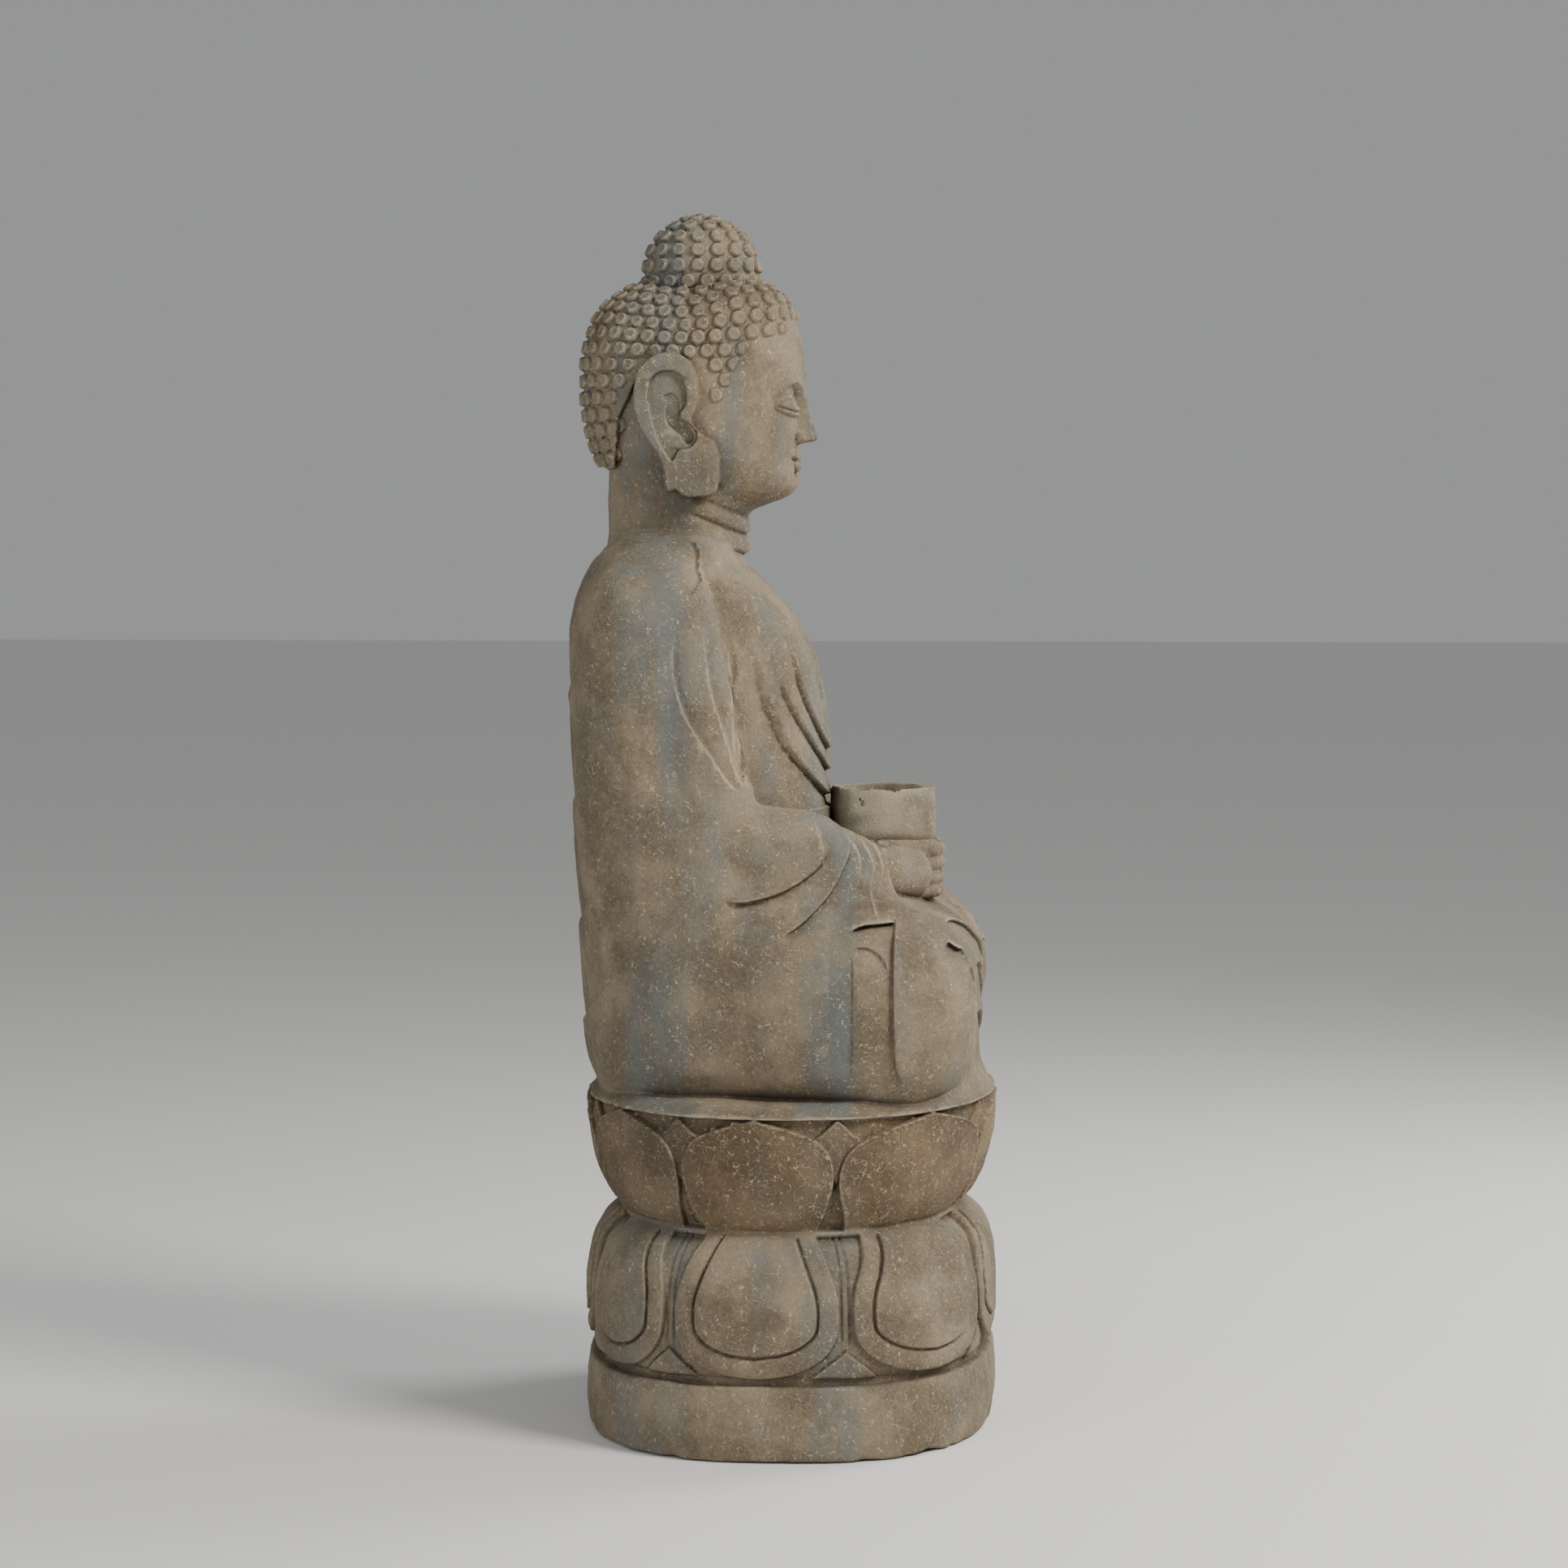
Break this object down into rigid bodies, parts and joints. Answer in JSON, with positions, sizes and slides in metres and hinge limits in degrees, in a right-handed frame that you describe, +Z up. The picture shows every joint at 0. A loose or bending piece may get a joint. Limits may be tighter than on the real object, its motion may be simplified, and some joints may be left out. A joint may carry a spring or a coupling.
{
  "type": "seated stone buddha statue",
  "caption": "Life-size-plus stone figure sitting cross-legged with an alms bowl in its hands, carved in one block with its double lotus seat and oval drum.",
  "frame": {"origin": "middle of the oval drum's flat underside, where the statue stands", "axes": "+Z up, the figure faces -Y, +X to the figure's left"},
  "size_m": [0.722, 0.5234, 1.477],
  "materials": {
    "stone": "matt brown-beige stone with blue-grey veins, finely pecked, with pale worn edges and dirt in the grooves"
  },
  "bodies": {
    "root": {"statue": "stone"}
  },
  "joints": []
}
